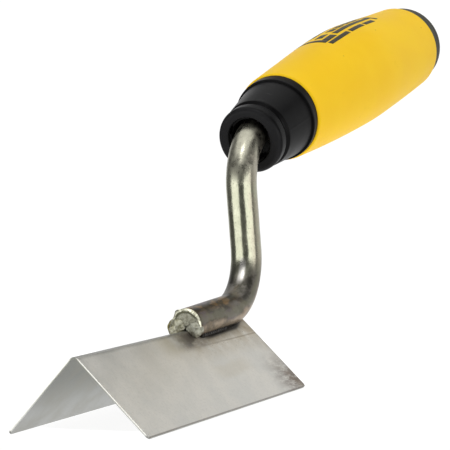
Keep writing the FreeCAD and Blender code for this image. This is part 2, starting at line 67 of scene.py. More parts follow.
NECK_FRONT_RADIUS, NECK_REAR_RADIUS = 11.1 * MM, 12.9 * MM
FLANGE_RADIUS, FLANGE_WIDTH, FLANGE_ROUND = 13.6 * MM, 3.2 * MM, 0.4 * MM
MOUTH_RADIUS, MOUTH_DROP = 6.2 * MM, 1.1 * MM
CORE_NOSE_RADIUS, CORE_RADIUS = 8.0 * MM, 11.5 * MM
SPIGOT_RADIUS, SPIGOT_LENGTH = 7.0 * MM, 12.0 * MM
CAP_THICKNESS, CAP_RADIUS, CAP_REAR_RADIUS, CAP_ROUND = 8.7 * MM, 15.2 * MM, 14.0 * MM, 1.5 * MM
GRIP_FRONT_EDGE, GRIP_REAR_EDGE = 0.8 * MM, 0.5 * MM
# distance behind the junction, radius, and rise of the centre above the tang axis, in mm
GRIP_STATIONS = [(0.0, 14.2, 0.0), (20.0, 15.6, 0.1), (40.0, 16.8, 0.4), (61.0, 17.5, 0.6),
                 (79.0, 17.0, 0.4), (97.0, 16.2, 0.1), (112.1, 15.5, 0.0)]

# ---------------------------------------------------------------- sizes that only the looks have
# Each visible nugget's radius, and its centre's distance across and below the ridge line. It is
# a little larger and nearer to the ridge than the smooth one in the CAD model.
TACKS = {"left": (3.1 * MM, 3.2 * MM, 0.0 * MM), "right": (2.6 * MM, 2.5 * MM, 0.5 * MM)}
TACK_BEHIND = 0.7 * MM
PRESS_LINE = 7.3 * MM
FACE_GROOVE = 3.75 * MM
ROD_WAVE, ROD_UNEVEN = 2.6 * MM, 0.02 * MM
CHAMFER_WIDTH, CHAMFER_RAGGED, CHAMFER_FINE = 0.62 * MM, 0.30 * MM, 0.16 * MM
BURR_HEIGHT, BURR_ANGLE, BURR_SPREAD = 0.45 * MM, math.radians(322), math.radians(13)
BEAD_RADIUS, BEAD_RIPPLE, BEAD_RIPPLES = 0.62 * MM, 0.13 * MM, 14
BEAD_OUTWARD, BEAD_LIFT, BEAD_WANDER, BEAD_LEAN = 0.32 * MM, 0.12 * MM, 0.12 * MM, 0.35 * MM
FACE_INNER_RADIUS, MOULD_LINE, MOULD_LINE_ANGLES = 7.9 * MM, 0.07 * MM, (86, 274)
GATE_MARK, GATE_ANGLE, MOUTH_LIFT = 0.12 * MM, 256, 0.07 * MM
# the notches in the ledge inside the mouth: middle and half width in degrees
LEDGE_NOTCHES = [(18, 9), (44, 7), (66, 5), (96, 6), (140, 9), (215, 9), (300, 10)]
NOTCH_DEPTH = 1.3 * MM
PRINT_LIFT, PRINT_THICKNESS = 0.035 * MM, 0.03 * MM
RECESS_RADIUS, RECESS_DEPTH, PIP_RADIUS, PIP_DEPTH = 11.2 * MM, 0.5 * MM, 1.6 * MM, 0.4 * MM

Bend = namedtuple("Bend", "first last centre incoming turn")


def rounded_corner(before, corner, after, radius):
    """The bend that rounds a corner of the rod, from its first point to its last."""
    incoming, outgoing = (corner - before).normalized(), (after - corner).normalized()
    turn = math.atan2(outgoing.y, outgoing.x) - math.atan2(incoming.y, incoming.x)
    reach = radius * abs(math.tan(turn / 2))
    first = corner - incoming * reach
    centre = first + Vector((-incoming.y, incoming.x)) * math.copysign(radius, turn)
    return Bend(first, corner + outgoing * reach, centre, incoming, turn)


BEND_MIDDLE = rounded_corner(SEAT_START, LOWER_CORNER, UPPER_CORNER, LOWER_BEND).centre
APEX = (LEG + SHEET) * math.sin(math.radians(45.0))
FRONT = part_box("blade")[0].y
RIDGE = Matrix.Translation((0, FRONT, APEX))
HANDLE = RIDGE @ Matrix.Translation((0, *UPPER_CORNER)) @ Matrix.Rotation(TILT, 4, "X")
COLLAR = HANDLE @ Matrix.Translation((0, JUNCTION, 0)) @ Matrix.Rotation(DROOP, 4, "X")


# ---------------------------------------------------------------- node trees
class NodeTree:
    """A node tree, with short calls for adding, linking and reckoning with its nodes."""

    def __init__(self, tree):
        self.tree = tree

    def node(self, kind, **settings):
        item = self.tree.nodes.new(kind)
        for key, setting in settings.items():
            setattr(item, key, setting)
        return item

    def link(self, source, socket):
        self.tree.links.new(source, socket)

    def feed(self, socket, source):
        """Sets a socket from a number, a colour or another node's output."""
        if isinstance(source, (int, float)):
            socket.default_value = source
        elif isinstance(source, tuple):
            socket.default_value = source if len(source) == 4 else (*source, 1)
        else:
            self.link(source, socket)

    def math(self, operation, first, second=0.0):
        item = self.node("ShaderNodeMath", operation=operation)
        self.feed(item.inputs[0], first)
        self.feed(item.inputs[1], second)
        return item.outputs[0]

    def product(self, *factors):
        result = factors[0]
        for factor in factors[1:]:
            result = self.math("MULTIPLY", result, factor)
        return result

    def fade(self, source, start, end, low=0.0, high=1.0):
        """Runs smoothly from low to high while the source runs from start to end."""
        item = self.node("ShaderNodeMapRange", interpolation_type="SMOOTHSTEP")
        self.feed(item.inputs["Value"], source)
        if start > end:
            start, end, low, high = end, start, high, low
        for key, setting in (("From Min", start), ("From Max", end), ("To Min", low), ("To Max", high)):
            item.inputs[key].default_value = setting
        return item.outputs[0]


# ---------------------------------------------------------------- camera, floor and light
AZIMUTH, ELEVATION, ROLL = math.radians(25.97), math.radians(2.505), math.radians(-2.373)
DISTANCE, SHIFT_RIGHT, SHIFT_UP = 495.7 * MM, 39.18 * MM, 33.37 * MM
LENS, SENSOR = 153.43, 36.0
FLOOR_RADIUS, FLOOR_GAP, FLOOR_GLOW = 115.0 * MM, 0.2 * MM, 0.90
ROOM_LIGHT, WALL_LIGHT, TABLE_LIGHT, SEEN_LIGHT = 0.14, 0.86, 0.50, 1.05
LIGHT_TARGET = Vector((0, 0, 60 * MM))


def make_camera():
    """The photograph's viewpoint, worked out from the ridge's front end."""
    level_back = Vector((math.sin(AZIMUTH), -math.cos(AZIMUTH), 0)) * math.cos(ELEVATION)
    back = level_back + Vector((0, 0, math.sin(ELEVATION)))
    level = Vector((0, 0, 1)).cross(back).normalized()
    upright = back.cross(level)
    right = level * math.cos(ROLL) + upright * math.sin(ROLL)
    up = upright * math.cos(ROLL) - level * math.sin(ROLL)
    data = bpy.data.cameras.new("camera")
    data.lens, data.sensor_width = LENS, SENSOR
    data.clip_start, data.clip_end = 0.01, 50.0
    camera = bpy.data.objects.new("camera", data)
    scene.collection.objects.link(camera)
    place = RIDGE.translation + right * SHIFT_RIGHT + up * SHIFT_UP + back * DISTANCE
    turn = Matrix((right, up, back)).transposed().to_4x4()
    camera.matrix_world = Matrix.Translation(place) @ turn
    scene.camera = camera


def make_world():
    """White seen directly; as a light, a dim room with a bright low wall behind and a duller table."""
    world = bpy.data.worlds.new("studio")
    scene.world = world
    world.use_nodes = True
    world.node_tree.nodes.clear()
    sky = NodeTree(world.node_tree)
    split = sky.node("ShaderNodeSeparateXYZ")
    sky.link(sky.node("ShaderNodeTexCoord").outputs["Generated"], split.inputs[0])
    backwards, up = split.outputs["Y"], split.outputs["Z"]
    wall = sky.product(sky.fade(backwards, 0.20, 0.70, 0.0, WALL_LIGHT),
                       sky.fade(up, 0.44, 0.60, 1.0, 0.05))
    table = sky.fade(up, -0.50, -0.22, TABLE_LIGHT, 0.0)
    level = sky.math("ADD", sky.math("MAXIMUM", wall, table), ROOM_LIGHT)
    blend = sky.node("ShaderNodeMixShader")
    sky.link(sky.node("ShaderNodeLightPath").outputs["Is Camera Ray"], blend.inputs[0])
    for strength, socket in ((level, blend.inputs[1]), (SEEN_LIGHT, blend.inputs[2])):
        background = sky.node("ShaderNodeBackground")
        background.inputs["Color"].default_value = (1, 1, 1, 1)
        sky.feed(background.inputs["Strength"], strength)
        sky.link(background.outputs[0], socket)
    sky.link(blend.outputs[0], sky.node("ShaderNodeOutputWorld").inputs["Surface"])


def make_floor():
    """A round white table top that glows a little, so that it fades into the white beyond."""
    mesh = bmesh.new()
    bmesh.ops.create_circle(mesh, cap_ends=True, segments=96, radius=FLOOR_RADIUS)
    data = bpy.data.meshes.new("floor")
    mesh.to_mesh(data)
    mesh.free()
    floor = bpy.data.objects.new("floor", data)
    floor.location.z = -FLOOR_GAP
    scene.collection.objects.link(floor)
    paint = Surface("floor_white", Roughness=0.9, Specular_IOR_Level=0.0, Emission_Strength=FLOOR_GLOW,
                    Base_Color=(0.30, 0.30, 0.30, 1), Emission_Color=(1, 1, 1, 1))
    floor.data.materials.append(paint.material)


def soft_light(name, azimuth, elevation, distance, size, power):
    """A soft box that looks at the tool's middle; azimuth 0 is in front, 90 at its right."""
    turn, lift = math.radians(azimuth), math.radians(elevation)
    aim = Vector((math.sin(turn) * math.cos(lift), -math.cos(turn) * math.cos(lift), math.sin(lift)))
    data = bpy.data.lights.new(name, "AREA")
    data.shape = "RECTANGLE"
    data.size, data.size_y = size
    data.energy = power
    light = bpy.data.objects.new(name, data)
    light.location = LIGHT_TARGET + aim * distance
    light.rotation_euler = aim.to_track_quat("Z", "Y").to_euler()
    scene.collection.objects.link(light)


def make_lights():
    """Two low boxes make the rod's streaks, a small one the glints; the wide one lights it all."""
    soft_light("soft_left", azimuth=-28.0, elevation=-4.0, distance=1.1, size=(1.15, 0.62), power=4.7)
    soft_light("soft_right", azimuth=70.0, elevation=-4.0, distance=1.1, size=(1.15, 0.62), power=5.2)
    soft_light("soft_top", azimuth=15.0, elevation=52.0, distance=1.1, size=(0.26, 0.45), power=1.9)
    soft_light("soft_overhead", azimuth=0.0, elevation=89.0, distance=1.3, size=(2.3, 2.3), power=18.5)


# ---------------------------------------------------------------- materials
# where the Mix node keeps its two colours and its result
MIX_FIRST, MIX_SECOND, MIX_COLOUR = 6, 7, 2


class Surface(NodeTree):
    """A material's node tree, with calls for the patterns that its colour and relief mix."""

    def __init__(self, name, **settings):
        self.material = bpy.data.materials.new(name)
        self.material.use_nodes = True
        super().__init__(self.material.node_tree)
        self.shader = self.tree.nodes["Principled BSDF"]
        for key, setting in settings.items():
            self.shader.inputs[key.replace("_", " ")].default_value = setting
        self.place = self.node("ShaderNodeTexCoord").outputs["Object"]
        split = self.node("ShaderNodeSeparateXYZ")
        self.link(self.place, split.inputs[0])
        self.x, self.y, self.z = split.outputs

    def band(self, source, middle, half_width, soft):
        """1 within half_width of middle, fading to 0 over soft on both sides."""
        off = self.math("ABSOLUTE", self.math("SUBTRACT", source, middle))
        return self.fade(off, half_width + soft, half_width)

    def scaled(self, scale, shift):
        """The place on the piece, scaled and shifted, for a pattern to start from."""
        item = self.node("ShaderNodeMapping")
        item.inputs["Scale"].default_value = scale
        item.inputs["Location"].default_value = (shift, shift, shift)
        self.link(self.place, item.inputs["Vector"])
        return item.outputs[0]

    def noise(self, size, detail=4.0, roughness=0.55, stretch=(1, 1, 1), shift=0.0):
        """Noise whose features are about size across; stretch lengthens them along an axis."""
        item = self.node("ShaderNodeTexNoise")
        for key, setting in (("Scale", 1.0), ("Detail", detail), ("Roughness", roughness)):
            item.inputs[key].default_value = setting
        self.link(self.scaled([1.0 / (size * length) for length in stretch], shift), item.inputs["Vector"])
        return item.outputs["Fac"]

    def specks(self, size, share, shift=0.0):
        """Small round spots, scattered; share is how much of each cell a spot may fill."""
        item = self.node("ShaderNodeTexVoronoi")
        item.inputs["Scale"].default_value = 1.0
        self.link(self.scaled([1.0 / size] * 3, shift), item.inputs["Vector"])
        return self.fade(item.outputs["Distance"], share, share * 0.4)

    def mix(self, factor, first, second):
        """The first colour, turning into the second as the factor goes from 0 to 1."""
        item = self.node("ShaderNodeMix", data_type="RGBA")
        self.feed(item.inputs["Factor"], factor)
        self.feed(item.inputs[MIX_FIRST], first)
        self.feed(item.inputs[MIX_SECOND], second)
        return item.outputs[MIX_COLOUR]

    def bump(self, height, strength, depth, base=None):
        item = self.node("ShaderNodeBump")
        item.inputs["Strength"].default_value = strength
        item.inputs["Distance"].default_value = depth
        self.link(height, item.inputs["Height"])
        if base is not None:
            self.link(base, item.inputs["Normal"])
        return item.outputs[0]

    def finish(self, colour=None, roughness=None, normal=None, metallic=None):
        for key, source in (("Base Color", colour), ("Roughness", roughness), ("Normal", normal),
                            ("Metallic", metallic)):
            if source is not None:
                self.feed(self.shader.inputs[key], source)
        return self.material


def blade_material():
    """Satin stainless sheet: faint mottling, heat colours round the rod, dark rear corner, and painted
    shade and reflection round the rod, along the ridge and edges, and inside the fold.
    """
    coat = Surface("blade_steel", Metallic=0.85)
    across = coat.math("ABSOLUTE", coat.x)
    # distances down a leg from the ridge, behind the rod's front end, and from the rear edge
    leg = coat.math("MULTIPLY", across, math.sqrt(2))
    along = coat.math("SUBTRACT", coat.y, FRONT)
    behind = coat.math("SUBTRACT", along, SEAT_FRONT)
    from_rear = coat.math("SUBTRACT", BLADE_LENGTH, along)
    cloud = coat.noise(9 * MM, 5, 0.6)
    grain = coat.noise(0.7 * MM, 3, 0.6)
    streak = coat.noise(0.5 * MM, 3, 0.5, stretch=(1, 14, 1))
    colour = coat.mix(coat.fade(cloud, 0.3, 0.7), (0.61, 0.605, 0.565), (0.70, 0.685, 0.635))
    colour = coat.mix(coat.product(coat.fade(grain, 0.45, 0.8), 0.35), colour, (0.46, 0.45, 0.41))

    # warm tint round the seat of the rod, and a faint ring of it further down the leg
    near_seat = coat.product(coat.fade(behind, -20 * MM, 2 * MM), coat.fade(leg, 15 * MM, 4 * MM))
    ragged = coat.fade(coat.noise(4 * MM, 5, 0.65), 0.25, 0.65)
    colour = coat.mix(coat.product(near_seat, ragged, 0.75), colour, (0.40, 0.345, 0.25))
    wavy_leg = coat.math("ADD", leg, coat.math("MULTIPLY", cloud, 6 * MM))
    ring = coat.band(wavy_leg, 20 * MM, 1.2 * MM, 2.5 * MM)
    ring_reach = coat.product(coat.fade(behind, -9 * MM, 0.0), coat.fade(behind, 20 * MM, 10 * MM))
    colour = coat.mix(coat.product(ring, ring_reach, 0.25), colour, (0.48, 0.42, 0.30))
    straw = coat.product(coat.fade(behind, -28 * MM, -14 * MM), coat.fade(behind, 2 * MM, -6 * MM),
                         coat.fade(leg, 11 * MM, 5 * MM), coat.fade(cloud, 0.35, 0.6))
    colour = coat.mix(coat.product(straw, 0.5), colour, (0.36, 0.315, 0.19))

    # soot in front of the rod's lobes, with painted shadow and reflection of the rod over it; painted
    # shadow close beside the rod, and painted black shade in the crevice under it
    smudge_noise = coat.fade(coat.noise(3 * MM, 4, 0.6, stretch=(1, 2, 1)), 0.2, 0.6)
    # soot, partly painted shadow and reflection of the rod
    soot_and_shade = coat.product(coat.fade(behind, -17 * MM, -4 * MM), coat.fade(behind, 7 * MM, 0.0),
                        coat.band(leg, 4.2 * MM, 1.6 * MM, 3.0 * MM), smudge_noise)
    colour = coat.mix(coat.product(soot_and_shade, 0.85), colour, (0.075, 0.06, 0.05))
    contact = coat.math("ADD", coat.fade(behind, 0.0, 28 * MM, 4.3 * MM, 3.1 * MM),
                        coat.fade(from_rear, 10 * MM, 0.0, 0.0, -2.6 * MM))
    off_rod = coat.math("SUBTRACT", leg, contact)
    # painted shadow of the rod on the blade, within a few mm of its contact line
    shadow_beside_rod = coat.product(coat.fade(behind, -2 * MM, 6 * MM), coat.fade(off_rod, 4.0 * MM, 1.2 * MM))
    colour = coat.mix(coat.product(shadow_beside_rod, 0.55), colour, (0.21, 0.175, 0.115))
    # painted near-black shade in the crevice where the rod meets the flank
    crevice_shade = coat.product(coat.fade(behind, 2 * MM, 10 * MM), coat.fade(from_rear, 0.5 * MM, 4 * MM),
                           coat.fade(off_rod, 1.9 * MM, 0.8 * MM))
    colour = coat.mix(coat.product(crevice_shade, 0.96), colour, (0.016, 0.013, 0.008))
    pepper = coat.specks(1.1 * MM, 0.22)
    colour = coat.mix(coat.product(pepper, near_seat, 0.8), colour, (0.14, 0.11, 0.08))

    # pressed line along the leg, painted dark reflection along the ridge, dark rear corner, rear edge, and
    # painted shade along the cut edges
    line = coat.product(coat.band(leg, PRESS_LINE, 0.10 * MM, 0.30 * MM),
                        coat.fade(behind, -2 * MM, 14 * MM, 0.35, 1.0), coat.fade(behind, -6 * MM, 0.0),
                        coat.fade(coat.noise(2 * MM, 2, 0.5, stretch=(1, 4, 1)), 0.2, 0.5))
    colour = coat.mix(coat.product(line, 0.5), colour, (0.22, 0.185, 0.135))
    # painted dark reflection along the rounded ridge
    colour = coat.mix(coat.product(coat.fade(leg, 2.6 * MM, 0.8 * MM), 0.62), colour, (0.16, 0.155, 0.14))
    smear = coat.noise(2.2 * MM, 5, 0.7, stretch=(1, 3, 1), shift=3.0)
    corner = coat.product(coat.fade(from_rear, 18 * MM, 2 * MM), coat.fade(leg, 13 * MM, 27 * MM),
                          coat.fade(smear, 0.30, 0.58))
    colour = coat.mix(coat.product(corner, 0.95), colour, (0.10, 0.062, 0.042))
    rear = coat.product(coat.fade(from_rear, 8 * MM, 0.0), coat.fade(coat.noise(5 * MM), 0.3, 0.7))
    colour = coat.mix(coat.product(rear, 0.45), colour, (0.33, 0.27, 0.19))
    # painted shade along the leg's lower cut edge and the rear edge
    edge_shade = coat.math("MAXIMUM", coat.fade(leg, LEG - 0.55 * MM, LEG - 0.15 * MM),
                    coat.fade(from_rear, 0.5 * MM, 0.1 * MM))
    colour = coat.mix(coat.product(edge_shade, 0.72), colour, (0.12, 0.105, 0.085))

    # painted shade on the hollow side, darkest up in the fold
    hollow_shade = coat.fade(coat.math("SUBTRACT", coat.math("ADD", across, coat.z), APEX), -0.2 * MM, -0.6 * MM)
    hollow_shade_tone = coat.mix(coat.fade(leg, 6 * MM, 27 * MM), (0.120, 0.127, 0.108), (0.360, 0.368, 0.355))
    hollow_shade_tone = coat.mix(coat.product(coat.fade(cloud, 0.35, 0.65), 0.4), hollow_shade_tone, (0.30, 0.29, 0.24))
    colour = coat.mix(coat.product(hollow_shade, 0.9), colour, hollow_shade_tone)
    roughness = coat.math("ADD", coat.fade(cloud, 0.3, 0.7, 0.33, 0.43), coat.product(near_seat, 0.12))
    height = coat.math("ADD", coat.math("MULTIPLY", grain, 0.5), coat.math("MULTIPLY", streak, 0.5))
    normal = coat.bump(height, 0.35, 0.03 * MM)
    normal = coat.bump(line, 0.5, -0.06 * MM, normal)
    return coat.finish(colour, roughness, normal)


def rod_material():
    """Drawn steel rod: olive grey, finely lined, with heat colours on the welded end, painted shade beside
    the blade and a painted glint in the lower bend.
    """
    coat = Surface("rod_steel", Metallic=1.0)
    behind = coat.math("SUBTRACT", coat.y, SEAT_FRONT)
    cloud = coat.noise(5 * MM, 5, 0.6)
    blotch = coat.noise(2.0 * MM, 4, 0.65, shift=9.0)
    fine = coat.noise(0.35 * MM, 4, 0.6)
    lines = coat.noise(0.35 * MM, 3, 0.6, stretch=(1, 1, 22))
    pits = coat.specks(0.8 * MM, 0.16, 1.7)
    colour = coat.mix(coat.fade(cloud, 0.3, 0.7), (0.36, 0.365, 0.27), (0.50, 0.505, 0.385))
    colour = coat.mix(coat.product(coat.fade(blotch, 0.45, 0.7), 0.35), colour, (0.25, 0.25, 0.19))
    right = coat.product(coat.fade(coat.x, 2.4 * MM, 4.4 * MM), coat.fade(cloud, 0.3, 0.55))
    colour = coat.mix(coat.product(right, 0.7), colour, (0.30, 0.265, 0.205))
    colour = coat.mix(coat.product(coat.fade(fine, 0.5, 0.75), 0.45), colour, (0.17, 0.165, 0.125))

    # the welded end: burnt dark on top, with rusty and purple swirls, and greyer in the bend
    seat = coat.fade(coat.z, 19 * MM, 10 * MM)
    patch = coat.noise(2.8 * MM, 4, 0.6, stretch=(1, 1.6, 1), shift=5.0)
    swirl = coat.noise(4.5 * MM, 3, 0.55, stretch=(1, 1.8, 1), shift=12.0)
    burnt = coat.mix(coat.fade(patch, 0.42, 0.58), (0.034, 0.026, 0.016), (0.090, 0.069, 0.045))
    burnt = coat.mix(coat.product(coat.fade(swirl, 0.54, 0.62), 0.75), burnt, (0.30, 0.185, 0.085))
    burnt = coat.mix(coat.product(coat.fade(swirl, 0.44, 0.36), 0.8), burnt, (0.100, 0.074, 0.086))
    in_bend = coat.mix(coat.fade(patch, 0.4, 0.6), (0.060, 0.056, 0.048), (0.16, 0.15, 0.135))
    burnt = coat.mix(coat.product(coat.fade(behind, 20 * MM, 29 * MM), 0.85), burnt, in_bend)
    colour = coat.mix(coat.product(seat, 0.94), colour, burnt)

    # Outwardness grows from the seat's top to its underside and, round the bend, from its inside
    # to its outside. Along it the burnt top meets a greenish band and then a pinkish flank.
    past = coat.math("MAXIMUM", coat.math("SUBTRACT", coat.y, BEND_MIDDLE.x), 0.0)
    below = coat.math("SUBTRACT", coat.z, BEND_MIDDLE.y)
    reach = coat.math("SQRT", coat.math("ADD", coat.product(past, past), coat.product(below, below)))
    outward = coat.math("SUBTRACT", reach, LOWER_BEND)
    edge = coat.math("ADD", outward, coat.math("MULTIPLY", coat.math("SUBTRACT", swirl, 0.5), 5 * MM))
    band = coat.product(seat, coat.band(edge, -0.6 * MM, 0.5 * MM, 1.2 * MM))
    colour = coat.mix(coat.product(band, 0.6), colour, (0.165, 0.160, 0.110))
    blush = coat.mix(coat.fade(patch, 0.36, 0.62), (0.135, 0.106, 0.070), (0.30, 0.236, 0.168))
    colour = coat.mix(coat.product(seat, coat.fade(edge, 0.3 * MM, 2.0 * MM), 0.92), colour, blush)
    tip = coat.product(coat.fade(behind, 5 * MM, 1 * MM), coat.fade(patch, 0.35, 0.6))
    colour = coat.mix(coat.product(tip, seat, 0.5), colour, (0.115, 0.085, 0.070))

    # painted near-black shade in the crevice beside the blade's flank; the pits are dark all over
    off_flank = coat.math("ADD", coat.z, coat.math("ABSOLUTE", coat.x))
    # painted shade where the rod's underside meets the flank
    crevice_shade = coat.product(coat.fade(off_flank, 2.4 * MM, 0.9 * MM), coat.fade(behind, 3 * MM, 12 * MM),
                           coat.fade(behind, 39 * MM, 35 * MM))
    colour = coat.mix(coat.product(crevice_shade, 0.93), colour, (0.030, 0.024, 0.016))
    pit_depth = coat.fade(coat.z, 30 * MM, 42 * MM, 0.75, 0.4)
    colour = coat.mix(coat.product(pits, pit_depth), colour, (0.06, 0.055, 0.04))

    # a painted glint inside the lower bend, and the upper bend worn paler and duller
    # painted highlight: a small glint on the inside of the lower bend
    rub_and_glint = coat.product(coat.band(coat.z, 13.9 * MM, 1.2 * MM, 3.2 * MM),
                       coat.band(coat.x, 1.0 * MM, 0.4 * MM, 0.9 * MM),
                       coat.fade(edge, 0.5 * MM, -0.5 * MM))
    colour = coat.mix(coat.product(rub_and_glint, 0.85), colour, (0.76, 0.74, 0.70))
    worn = coat.fade(coat.z, 38 * MM, 47 * MM)
    colour = coat.mix(coat.product(worn, 0.45), colour, (0.46, 0.43, 0.37))
    roughness = coat.math("ADD", coat.fade(cloud, 0.3, 0.7, 0.18, 0.27), coat.product(seat, 0.16))
    roughness = coat.math("ADD", roughness, coat.product(worn, coat.fade(blotch, 0.3, 0.7), 0.22))
    roughness = coat.math("ADD", roughness, coat.product(coat.fade(fine, 0.45, 0.85), 0.08))
    relief = coat.math("ADD", coat.math("MULTIPLY", fine, 0.6), coat.math("MULTIPLY", lines, 0.7))
    normal = coat.bump(relief, 0.35, 0.02 * MM)
    normal = coat.bump(blotch, 0.25, 0.15 * MM, normal)
    normal = coat.bump(pits, 0.5, -0.05 * MM, normal)
    return coat.finish(colour, roughness, normal)


def cut_face_material():
    """The rod's sawn end: dull grey, coarse and spattered, with painted shadow under its upper rim and in
    the gap at the notch's root.
    """
    coat = Surface("rod_cut_face", Metallic=0.7)
    coarse = coat.noise(0.9 * MM, 5, 0.7)
    fine = coat.noise(0.25 * MM, 4, 0.7)
    colour = coat.mix(coat.fade(coarse, 0.35, 0.65), (0.215, 0.21, 0.155), (0.45, 0.445, 0.36))
    colour = coat.mix(coat.product(coat.specks(0.7 * MM, 0.3, 2.0), 0.8), colour, (0.07, 0.065, 0.05))
    above = coat.math("SUBTRACT", coat.z, SEAT_LIFT)
    reach = coat.math("SQRT", coat.math("ADD", coat.product(coat.x, coat.x), coat.product(above, above)))
    # painted shadow: a dark arc under the upper rim, where no groove is modelled
    groove = coat.product(coat.band(reach, FACE_GROOVE, 0.2 * MM, 0.3 * MM),
                          coat.fade(above, 0.8 * MM, 2.2 * MM))
    colour = coat.mix(coat.product(groove, 0.8), colour, (0.07, 0.07, 0.035))
    # painted black shade of the gap between the notch's root and the ridge
    notch_gap_shade = coat.product(coat.fade(coat.z, 1.1 * MM, 0.2 * MM),
                              coat.band(coat.x, 0.0, 0.5 * MM, 0.6 * MM))
    colour = coat.mix(coat.product(notch_gap_shade, 0.9), colour, (0.02, 0.018, 0.012))
    normal = coat.bump(coarse, 0.9, 0.25 * MM)
    normal = coat.bump(fine, 0.6, 0.08 * MM, normal)
    return coat.finish(colour, coat.fade(coarse, 0.3, 0.7, 0.4, 0.65), normal)


def bare_rim_material():
    """Freshly ground chamfer on the rod's end, bright and slightly yellow."""
    coat = Surface("rod_bare_rim", Metallic=0.9, Roughness=0.4)
    ragged = coat.noise(0.8 * MM, 4, 0.7, shift=1.0)
    colour = coat.mix(coat.fade(ragged, 0.38, 0.58), (0.33, 0.32, 0.22), (0.93, 0.92, 0.74))
    normal = coat.bump(ragged, 0.6, 0.12 * MM)
    return coat.finish(colour, coat.fade(ragged, 0.3, 0.7, 0.28, 0.45), normal)


def weld_material(name, pale, dark, shift, burnt=False):
    """Rough weld metal in two shades; a burnt nugget is olive and brown on its outer side."""
    coat = Surface(name, Metallic=0.75)
    patch = coat.noise(1.3 * MM, 5, 0.65, shift=shift)
    fine = coat.noise(0.3 * MM, 4, 0.7, shift=shift)
    colour = coat.mix(coat.fade(patch, 0.36, 0.6), dark, pale)
    if burnt:
        outer = coat.fade(coat.math("ABSOLUTE", coat.x), 4.2 * MM, 4.9 * MM)
        olive = coat.mix(coat.fade(patch, 0.46, 0.60), (0.028, 0.020, 0.008), (0.36, 0.31, 0.10))
        colour = coat.mix(coat.product(outer, 0.92), colour, olive)
    colour = coat.mix(coat.product(coat.specks(0.9 * MM, 0.16, shift), 0.6), colour, (0.05, 0.04, 0.03))
    normal = coat.bump(patch, 0.6, 0.2 * MM)
    normal = coat.bump(fine, 0.5, 0.06 * MM, normal)
    return coat.finish(colour, coat.fade(patch, 0.3, 0.7, 0.34, 0.58), normal)


def collar_material():
    """Black moulded plastic, semi-gloss, with handling marks, a faint cloudy tone and painted light on its
    front face.
    """
    coat = Surface("collar_plastic", Specular_IOR_Level=0.07)
    cloud = coat.noise(7 * MM, 4, 0.6)
    fine = coat.noise(0.28 * MM, 3, 0.6)
    scratch = coat.fade(coat.noise(1.0 * MM, 3, 0.6, stretch=(9, 1, 9), shift=4.0), 0.66, 0.74)
    colour = coat.mix(coat.fade(cloud, 0.3, 0.7), (0.002, 0.002, 0.0022), (0.005, 0.005, 0.0052))
    colour = coat.mix(coat.product(scratch, 0.25), colour, (0.10, 0.10, 0.10))
    # painted light: the front face is a little lighter for the light it catches
    face = coat.fade(coat.y, -22.6 * MM, -23.7 * MM)
    colour = coat.mix(coat.product(face, 0.8), colour, (0.018, 0.018, 0.019))
    roughness = coat.math("ADD", coat.fade(cloud, 0.3, 0.7, 0.27, 0.35), coat.product(fine, 0.10))
    normal = coat.bump(fine, 0.25, 0.04 * MM)
    return coat.finish(colour, roughness, normal)


def core_material():
    """Matt black moulded plastic of the core's nose inside the collar's mouth."""
    coat = Surface("core_plastic", Specular_IOR_Level=0.35)
    cloud = coat.noise(3 * MM, 4, 0.6)
    colour = coat.mix(coat.fade(cloud, 0.3, 0.7), (0.010, 0.010, 0.010), (0.020, 0.020, 0.020))
    return coat.finish(colour, coat.fade(cloud, 0.3, 0.7, 0.55, 0.7), coat.bump(cloud, 0.4, 0.1 * MM))


def grip_material():
    """Satin yellow elastomer: even, with the faintest mottling, rub marks and specks."""
    coat = Surface("grip_yellow", Specular_IOR_Level=0.04, Subsurface_Weight=0.12,
                   Subsurface_Scale=1.2 * MM, Subsurface_Radius=(1.0, 0.55, 0.12))
    cloud = coat.noise(22 * MM, 3, 0.5)
    skin = coat.noise(0.22 * MM, 3, 0.6)
    rub_and_glint = coat.noise(2.5 * MM, 4, 0.65, stretch=(2, 5, 2), shift=2.0)
    colour = coat.mix(coat.fade(cloud, 0.3, 0.7), (0.93, 0.565, 0.012), (0.96, 0.605, 0.020))
    colour = coat.mix(coat.product(coat.fade(rub_and_glint, 0.6, 0.72), 0.10), colour, (0.62, 0.36, 0.03))
    specks = coat.product(coat.specks(9 * MM, 0.035, 6.0), 0.8)
    colour = coat.mix(specks, colour, (0.30, 0.16, 0.02))
    roughness = coat.math("ADD", coat.fade(cloud, 0.3, 0.7, 0.40, 0.46),
                          coat.product(coat.fade(rub_and_glint, 0.5, 0.8), 0.06))
    normal = coat.bump(skin, 0.18, 0.03 * MM)
    normal = coat.bump(rub_and_glint, 0.10, 0.10 * MM, normal)
    return coat.finish(colour, roughness, normal)


def cap_material():
    """Dark grey moulded plastic with a fine spark-eroded grain."""
    coat = Surface("cap_plastic", Specular_IOR_Level=0.03)
    cloud = coat.noise(6 * MM, 4, 0.6)
    grain = coat.noise(0.35 * MM, 3, 0.7)
    colour = coat.mix(coat.fade(cloud, 0.3, 0.7), (0.040, 0.039, 0.033), (0.060, 0.058, 0.048))
    return coat.finish(colour, coat.fade(grain, 0.3, 0.7, 0.42, 0.55), coat.bump(grain, 0.3, 0.06 * MM))


def print_material():
    """Dark ink printed on the grip, slightly worn."""
    coat = Surface("print_ink", Specular_IOR_Level=0.08)
    wear = coat.noise(0.8 * MM, 4, 0.7, shift=8.0)
    colour = coat.mix(coat.fade(wear, 0.5, 0.75), (0.045, 0.042, 0.028), (0.13, 0.105, 0.030))
    return coat.finish(colour, coat.fade(wear, 0.3, 0.7, 0.38, 0.5), coat.bump(wear, 0.2, 0.02 * MM))


